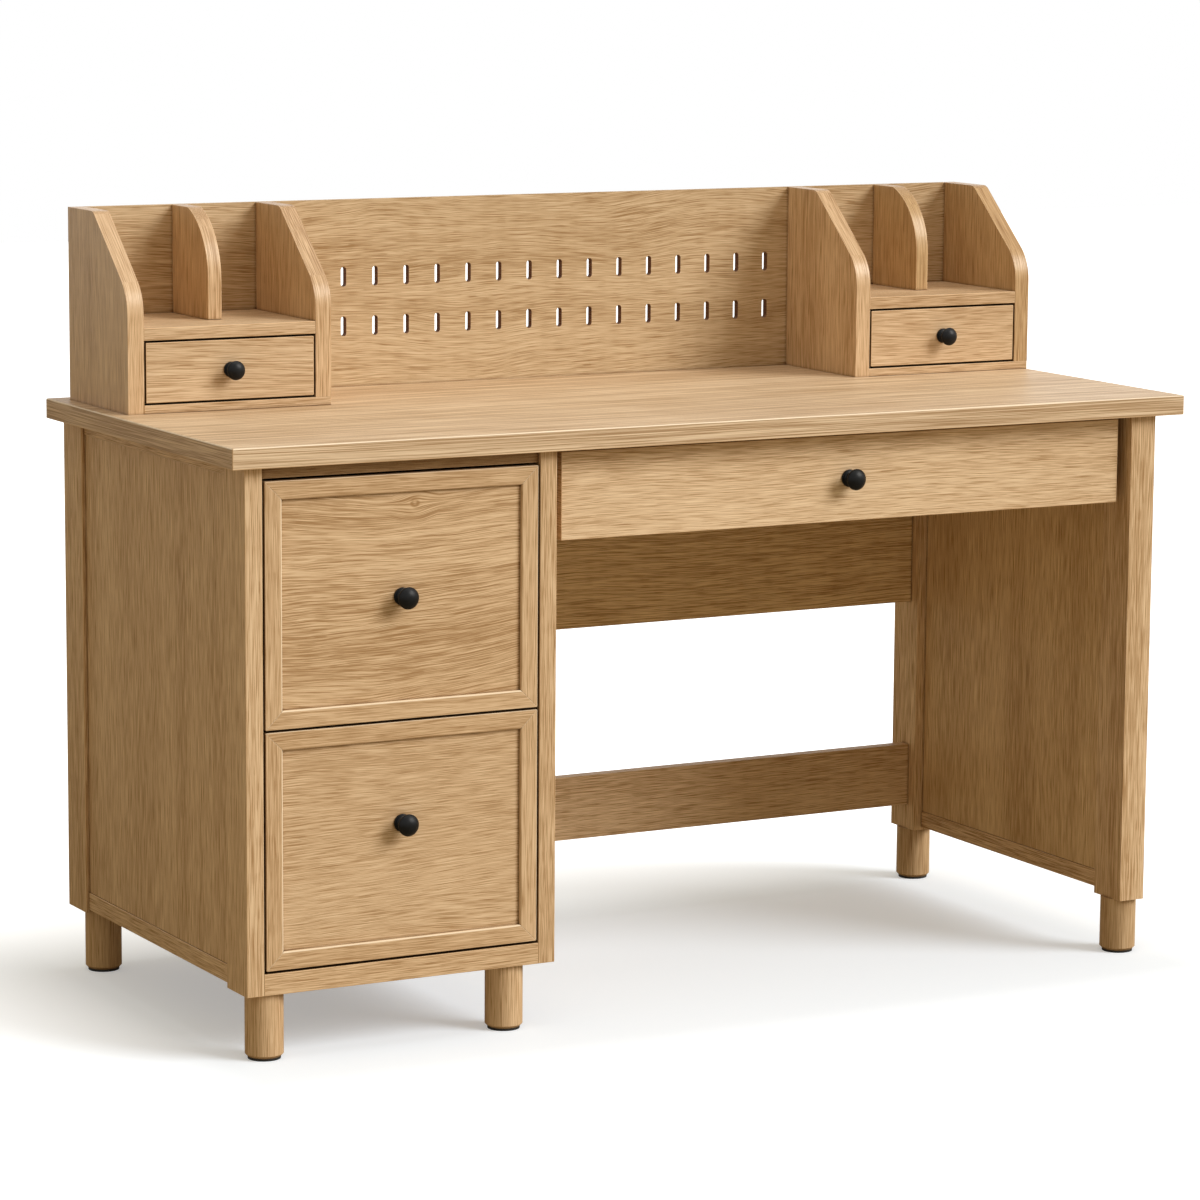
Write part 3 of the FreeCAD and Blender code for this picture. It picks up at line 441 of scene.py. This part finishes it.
def knob_black(name):
    """Satin black paint with a fine orange-peel, and faint rub marks where fingers take hold."""
    shader = Shader(name)
    peel = shader.noise(shader.place, (650, 650, 650), detail=3.0, roughness=0.6)
    rubbed = shader.noise(shader.place, (90, 90, 90), (3, 1, 4), detail=3.0)
    shade = shader.ramp(peel, [(0.3, colour(10, 11, 12)), (0.7, colour(19, 20, 22))])
    shader.set(Base_Color=shade, Specular_IOR_Level=0.2)
    shader.roughen(rubbed, 0.36, 0.46, reach=0.15)
    shader.bump(peel, strength=0.1, distance=0.0002)
    return shader.material


def zinc(name, scales, dark, light):
    """Zinc-plated steel, brushed along the axis of its smallest scale and mottled as plating is."""
    shader = Shader(name)
    lines = shader.noise(shader.place, scales, detail=3.0, roughness=0.6)
    spangle = shader.add("TexVoronoi", None, {"Vector": shader.place, "Scale": 130.0}).outputs["Color"]
    spangle = shader.add("SeparateColor", None, {"Color": spangle}).outputs[0]
    tone = shader.math("MULTIPLY_ADD", spangle, 0.25, shader.math("MULTIPLY", lines, 0.75))
    shade = shader.ramp(tone, [(0.25, dark), (0.75, light)])
    shader.set(Base_Color=shade, Metallic=1.0)
    shader.roughen(tone, 0.42, 0.3)
    shader.bump(lines, strength=0.08, distance=0.0002)
    return shader.material


def pad_plastic(name):
    """Fine-textured black plastic of the pads."""
    shader = Shader(name)
    grain = shader.noise(shader.place, (900, 900, 900), detail=3.0)
    shade = shader.ramp(grain, [(0.3, colour(22, 21, 20)), (0.7, colour(40, 38, 36))])
    shader.set(Base_Color=shade, Specular_IOR_Level=0.4)
    shader.roughen(grain, 0.62, 0.5)
    shader.bump(grain, strength=0.3, distance=0.0003)
    return shader.material


# The nodes and what each is made of

# Looks that several boards share
NARROW = dict(flow=0.008)
FRONT_POST = dict(NARROW, lines=0.85)
# The file drawers' frames get a painted highlight on rounded edges that face up or to the right
FILE_FRAME = dict(flow=0.005, lines=0.62, rim=True)
HUTCH_UPRIGHT = dict(lines=0.75, gloss=0.36, rough=0.33, banded=True)
HUTCH_BOARDS = dict(flow=0.01, lines=0.8)

# Each oak node: the axis its grain runs along, its seed, and how it differs from plain oak
OAK_NODES = {
    # The worktop is tinted paler and cooler, a painted sheen, and gets a painted highlight on its rounded
    # edges
    "worktop": ("X", 1, dict(
        flow=0.02, lines=1.05, bands=0.7, tint=(1.01, 1.06, 1.14), gloss=0.5, stretch=(0.3, 0.45), rim=True,
    )),
    "pedestal_post_front_left": ("Z", 2, FRONT_POST),
    "pedestal_post_front_right": ("Z", 3, FRONT_POST),
    "pedestal_posts_rear": ("Z", 4, NARROW),
    "pedestal_panel_left": ("Z", 5, dict(flow=0.02)),
    "pedestal_panel_right": ("Z", 6, dict(flow=0.02, lines=0.85)),
    "pedestal_side_rails": ("Y", 7, NARROW),
    "pedestal_back": ("X", 8, {}),
    # The front rails get painted shadow close under the worktop
    "pedestal_front_rails": ("X", 9, dict(NARROW, lines=0.75, recess=True)),
    "pedestal_floor": ("X", 10, {}),
    "end_post_front": ("Z", 11, dict(NARROW, lines=0.8, tint=(1.06, 1.08, 1.1))),
    "end_post_rear": ("Z", 12, dict(NARROW, tint=(1.07, 1.09, 1.09))),
    "end_panel": ("Z", 13, dict(flow=0.02, lines=0.85, tint=(1.08, 1.1, 1.04))),
    "end_rails": ("Y", 14, NARROW),
    "modesty_board": ("X", 15, dict(tint=(1.07, 1.09, 1.0))),
    "stretcher": ("X", 16, dict(flow=0.015)),
    "pedestal_legs": ("Z", 17, dict(flow=0.006, lines=0.6)),
    "end_legs": ("Z", 18, dict(flow=0.006, lines=0.6, tint=(0.83, 0.82, 0.79))),
    # The hutch back is tinted darker and cooler, painted shade that offsets the worktop's bounce light, and
    # gets painted shade on its slots' walls
    "hutch_back": ("X", 19, dict(
        flow=0.07, lines=0.8, bands=1.2, tint=(0.86, 0.9, 0.92), gloss=0.1, slots=True,
    )),
    "left_unit_side_left": ("Z", 20, HUTCH_UPRIGHT),
    "left_unit_side_right": ("Z", 21, HUTCH_UPRIGHT),
    "left_unit_boards": ("X", 22, dict(HUTCH_BOARDS, tint=(0.93, 0.95, 0.98))),
    "left_unit_divider": ("Z", 23, HUTCH_UPRIGHT),
    "right_unit_side_left": ("Z", 24, HUTCH_UPRIGHT),
    # Tinted darker and warmer: painted shade inside the right unit
    "right_unit_side_right": ("Z", 25, dict(HUTCH_UPRIGHT, tint=(0.86, 0.82, 0.72))),
    "right_unit_boards": ("X", 26, dict(HUTCH_BOARDS, tint=(0.95, 0.96, 0.98))),
    # Tinted darker and warmer: painted shade inside the right unit
    "right_unit_divider": ("Z", 27, dict(HUTCH_UPRIGHT, tint=(0.82, 0.78, 0.66))),
    "lower_file_stiles": ("Z", 28, FILE_FRAME),
    "lower_file_rails": ("X", 29, FILE_FRAME),
    "lower_file_panel": ("X", 30, dict(flow=0.045, lines=0.68, bands=0.6, tint=(1.02, 1.04, 1.07))),
    "upper_file_stiles": ("Z", 31, FILE_FRAME),
    "upper_file_rails": ("X", 32, FILE_FRAME),
    "upper_file_panel": ("X", 33, dict(flow=0.07, lines=0.78, bands=1.2)),
    # Tinted lighter: painted light that lifts the worktop's shadow on it
    "pencil_drawer_front": ("X", 34, dict(lines=0.75, tint=(1.1, 1.14, 1.2))),
    "left_drawer_front": ("X", 35, dict(flow=0.04, lines=0.65, tint=(0.93, 0.96, 1.0))),
    "right_drawer_front": ("X", 36, dict(flow=0.04, lines=0.65, tint=(1.0, 1.03, 1.08))),
}
# A node's material slots: its faces, and its eased edges
FACE_SLOT = 0
EDGE_SLOT = 1
# Oak nodes whose eased edges keep the faces' material, and the one whose edges stay sharp
PLAIN_EDGED = ["lower_file_stiles", "lower_file_rails", "upper_file_stiles", "upper_file_rails"]
SHARP_EDGED = "hutch_back"

# The node with the knot: where across it the knot lies, how far under its top, and the knot's radius
KNOT_NODE = "upper_file_panel"
KNOT_ACROSS_SHARE = 0.552
KNOT_DROP = 0.022
KNOT_RADIUS = 0.006

# Each drawer by the name that starts its nodes, and its body
DRAWER_BODIES = {
    "lower_file": "lower_file_drawer",
    "upper_file": "upper_file_drawer",
    "pencil_drawer": "pencil_drawer",
    "left_drawer": "left_small_drawer",
    "right_drawer": "right_small_drawer",
}
SCREW_NODES = [drawer + "_screw" for drawer in DRAWER_BODIES] + ["leg_bolts"]
RUNNER_NODES = [
    "file_tracks", "pencil_tracks", "lower_file_runners", "upper_file_runners", "pencil_drawer_runners",
]

# The waves per metre of brushed lines that run along X, and along Y
BRUSHED_X = (14, 700, 700)
BRUSHED_Y = (700, 14, 700)

# How wide the eased edges of the oak and of the drawer boxes are, and how near points are joined first,
# in metres; and from which angle an edge is eased
OAK_EASING = 0.0008
BOX_EASING = 0.0006
WELD_REACH = 0.00002
EASED_FROM = math.radians(40)


def wear(node, *materials):
    """Gives a node its materials, in the order of its slots."""
    slots = node.data.materials
    slots.clear()
    for material in materials:
        slots.append(material)


def soften(node, width, edge_slot):
    """Rounds the sharp edges by a hair, in the material of the given slot."""
    weld = node.modifiers.new("weld", "WELD")
    weld.merge_threshold = WELD_REACH
    bevel = node.modifiers.new("bevel", "BEVEL")
    bevel.width = width
    bevel.segments = 2
    bevel.limit_method = "ANGLE"
    bevel.angle_limit = EASED_FROM
    bevel.material = edge_slot
    bevel.use_clamp_overlap = True
    node.modifiers.new("normals", "WEIGHTED_NORMAL")


def panel_knot():
    """Where the small knot of the upper file drawer's panel is, and its radius."""
    low, high = (Vector(corner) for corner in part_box(KNOT_NODE))
    across = low.x + (high.x - low.x) * KNOT_ACROSS_SHARE
    return Vector((across, low.y, high.z - KNOT_DROP)), KNOT_RADIUS


def dress_wood():
    """Oak for the desk, each board with its own seed, and pale wood for the drawer boxes."""
    edges = {grain: highlight_edge_oak("oak_highlight_edge_" + grain.lower(), grain) for grain in "XYZ"}
    for name, (grain, seed, look) in OAK_NODES.items():
        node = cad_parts[name]
        knot = panel_knot() if name == KNOT_NODE else None
        wear(node, oak("oak_" + name, grain, seed, knot=knot, **look), edges[grain])
        if name != SHARP_EDGED:
            soften(node, OAK_EASING, FACE_SLOT if name in PLAIN_EDGED else EDGE_SLOT)
    pale = drawer_wood("drawer_wood")
    for drawer in DRAWER_BODIES:
        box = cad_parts[drawer + "_box"]
        wear(box, pale)
        soften(box, BOX_EASING, FACE_SLOT)


def dress_metal():
    """Zinc for screws, tracks and runners, and plastic for the pads."""
    bright = zinc("screw_steel", BRUSHED_X, colour(150, 150, 152), colour(196, 196, 197))
    for name in SCREW_NODES:
        wear(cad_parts[name], bright)
    plated = zinc("runner_steel", BRUSHED_Y, colour(158, 160, 163), colour(205, 207, 210))
    for name in RUNNER_NODES:
        wear(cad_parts[name], plated)
    wear(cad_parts["leg_glides"], pad_plastic("glide_plastic"))


# Knobs

# A knob's half outline: radius as a share of the head's, and height as a share of the length.
# The third number is how far the run to the next point bulges out, as a share of that run.
KNOB_PROFILE_SHARES = [
    (0.0, 0.0, 0), (0.78, 0.0, 0.15), (0.8, 0.07, 0.15), (0.73, 0.1, -0.2), (0.44, 0.24, 0),
    (0.44, 0.34, -0.2), (0.88, 0.62, 0.12), (1.0, 0.7, 0.08), (0.98, 0.77, 0.12), (0.0, 1.0, 0),
]
# Points on each bulging run, points round the axis, and from which angle an edge stays sharp
ARC_STEPS = 8
TURN_STEPS = 72
KNOB_CREASE = math.radians(50)


def run_points(start, end, bulge):
    """Points from one corner towards the next, on an arc that bulges to the right of the way."""
    if not bulge:
        return [start]
    (x0, y0), (x1, y1) = start, end
    points = []
    for step in range(ARC_STEPS):
        share = step / ARC_STEPS
        out = 4 * bulge * share * (1 - share)
        points.append((x0 + (x1 - x0) * share + (y1 - y0) * out, y0 + (y1 - y0) * share - (x1 - x0) * out))
    return points


def knob_outline(radius, long):
    """The half outline without its two ends, which lie on the axis."""
    corners = [(share * radius, height * long, bulge) for share, height, bulge in KNOB_PROFILE_SHARES]
    points = []
    for (x0, y0, bulge), (x1, y1, _) in zip(corners, corners[1:]):
        points += run_points((x0, y0), (x1, y1), bulge)
    return points[1:]


def turned_mesh(name, outline, tip):
    """Turns an outline round an axis that points forward; both ends are closed with a point."""
    verts = [(0, 0, 0)]
    for radius, height in outline:
        for step in range(TURN_STEPS):
            angle = math.tau * step / TURN_STEPS
            verts.append((radius * math.cos(angle), -height, radius * math.sin(angle)))
    verts.append((0, -tip, 0))
    turn = [(step, (step + 1) % TURN_STEPS) for step in range(TURN_STEPS)]
    faces = [(0, 1 + ahead, 1 + step) for step, ahead in turn]
    for row in range(len(outline) - 1):
        base = 1 + row * TURN_STEPS
        above = base + TURN_STEPS
        faces += [(base + step, base + ahead, above + ahead, above + step) for step, ahead in turn]
    base = 1 + (len(outline) - 1) * TURN_STEPS
    faces += [(base + step, base + ahead, len(verts) - 1) for step, ahead in turn]
    mesh = bpy.data.meshes.new(name)
    mesh.from_pydata(verts, [], faces)
    mesh.update()
    mesh.shade_smooth()
    mesh.set_sharp_from_angle(angle=KNOB_CREASE)
    return mesh


def make_knobs():
    """Turned knobs with hollowed necks and domed heads, each in place of its plainer solid."""
    black = knob_black("knob_black")
    for drawer, body in DRAWER_BODIES.items():
        node = drawer + "_knob"
        low, high = (Vector(corner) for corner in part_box(node))
        radius, long = (high.x - low.x) / 2, high.y - low.y
        mesh = turned_mesh(node + "_turned", knob_outline(radius, long), long)
        knob = bpy.data.objects.new(node + "_turned", mesh)
        SCENE.collection.objects.link(knob)
        knob.location = ((low.x + high.x) / 2, high.y, (low.z + high.z) / 2)
        wear(knob, black)
        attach(knob, body)
        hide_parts(node)


# Floor, light and camera

# The floor's width, the part of it along X and Y that stays shaded, how far from that part it is white,
# all in metres, and how much the shaded part is lifted for the camera
FLOOR_WIDTH = 24
FLOOR_SHADED = ((-0.68, 0.66), (-0.36, 0.28))
FLOOR_FADE = 0.4
FLOOR_LIFT = 0.35
# The floor's colour where it lights the desk, and as the camera sees it
FLOOR_FOR_LIGHT = (0.45, 0.39, 0.28, 1)
FLOOR_FOR_CAMERA = (0.7, 0.79, 0.92, 1)

# The warm light that fills the shade from all round
FILL_COLOUR = (1.0, 0.8, 0.5, 1)
FILL_STRENGTH = 0.37

# The camera as fitted to the photograph: its place in metres, its turns in degrees, and its lens and
# sensor in millimetres; and how far it sees, in metres
CAMERA_PLACE = (-2.826, -5.149, 1.411)
CAMERA_YAW = 28.49
CAMERA_PITCH = 8.92
CAMERA_ROLL = 0.40
CAMERA_LENS = 134.58
CAMERA_SENSOR = 36
CAMERA_SIGHT = 100


def add_floor():
    """A plain pale floor that glows for the camera: a little near the desk, where it keeps the desk's
    shadow, and to full white further out, where the glow paints out the shadow.
    """
    bpy.ops.mesh.primitive_grid_add(x_subdivisions=8, y_subdivisions=8, size=FLOOR_WIDTH, location=(0, 0, 0))
    floor = bpy.context.object
    floor.name = "floor"
    shader = Shader("floor")
    seen = shader.add("LightPath").outputs["Is Camera Ray"]
    outside = []
    for part, (low, high) in zip(shader.split(shader.place), FLOOR_SHADED):
        past, short = shader.math("SUBTRACT", part, high), shader.math("SUBTRACT", low, part)
        outside.append(shader.math("MAXIMUM", shader.math("MAXIMUM", past, short), 0.0))
    away = shader.vector("LENGTH", shader.joined(*outside, 0.0))
    lift = shader.level(away, 0.0, FLOOR_FADE, FLOOR_LIFT, 1.0)
    shade = shader.mixed(FLOOR_FOR_LIGHT, seen, FLOOR_FOR_CAMERA)
    shader.set(Base_Color=shade, Roughness=0.9, Specular_IOR_Level=0.1)
    shader.set(Emission_Color=WHITE, Emission_Strength=shader.math("MULTIPLY", seen, lift))
    wear(floor, shader.material)


def add_world():
    """White to the camera and in reflections, and a soft warm fill for everything else."""
    world = bpy.data.worlds.new("studio")
    SCENE.world = world
    world.use_nodes = True
    nodes = Nodes(world.node_tree)
    fill = nodes.tree.nodes["Background"]
    nodes.feed(fill.inputs["Color"], FILL_COLOUR)
    nodes.feed(fill.inputs["Strength"], FILL_STRENGTH)
    white = nodes.add("Background", None, {"Color": WHITE, "Strength": 1.0})
    path = nodes.add("LightPath").outputs
    seen = nodes.math("MAXIMUM", path["Is Camera Ray"], path["Is Glossy Ray"])
    seen = nodes.math("MAXIMUM", seen, path["Is Transmission Ray"])
    mix = nodes.add("MixShader", None, {0: seen, 1: fill.outputs[0], 2: white.outputs[0]})
    nodes.feed(nodes.tree.nodes["World Output"].inputs["Surface"], mix.outputs[0])


def add_lamp(name, kind, energy, shade, place):
    """A lamp at a place, turned towards the middle of the floor."""
    light = bpy.data.lights.new(name, kind)
    light.energy = energy
    light.color = shade
    lamp = bpy.data.objects.new(name, light)
    SCENE.collection.objects.link(lamp)
    lamp.location = place
    lamp.rotation_mode = "QUATERNION"
    lamp.rotation_quaternion = (-Vector(place)).to_track_quat("-Z", "Y")
    return light


def add_lamps():
    """A wide sun as the key from the right front, and a large lamp overhead."""
    key = add_lamp("key", "SUN", energy=2.5, shade=(1, 0.97, 0.92), place=(3.0, -3.05, 2.7))
    key.angle = math.radians(30)
    overhead = add_lamp("overhead", "AREA", energy=26, shade=(1, 0.99, 0.97), place=(0, -0.3, 3.8))
    overhead.size = 2.4


def add_camera():
    """The photograph's view: from the left front, a little above, with a long lens."""
    yaw, pitch, roll = (math.radians(angle) for angle in (CAMERA_YAW, CAMERA_PITCH, CAMERA_ROLL))
    ahead = Vector((math.sin(yaw) * math.cos(pitch), math.cos(yaw) * math.cos(pitch), -math.sin(pitch)))
    right = Vector((math.cos(yaw), -math.sin(yaw), 0))
    up = right.cross(ahead)
    level = math.cos(roll) * right + math.sin(roll) * up
    top = math.cos(roll) * up - math.sin(roll) * right
    data = bpy.data.cameras.new("camera")
    data.sensor_width = CAMERA_SENSOR
    data.lens = CAMERA_LENS
    data.clip_end = CAMERA_SIGHT
    camera = bpy.data.objects.new("camera", data)
    SCENE.collection.objects.link(camera)
    turn = Matrix((level, top, -ahead)).transposed().to_4x4()
    camera.matrix_world = Matrix.Translation(CAMERA_PLACE) @ turn
    SCENE.camera = camera


SCENE.view_settings.view_transform = "Standard"
dress_wood()
dress_metal()
make_knobs()
add_floor()
add_world()
add_lamps()
add_camera()
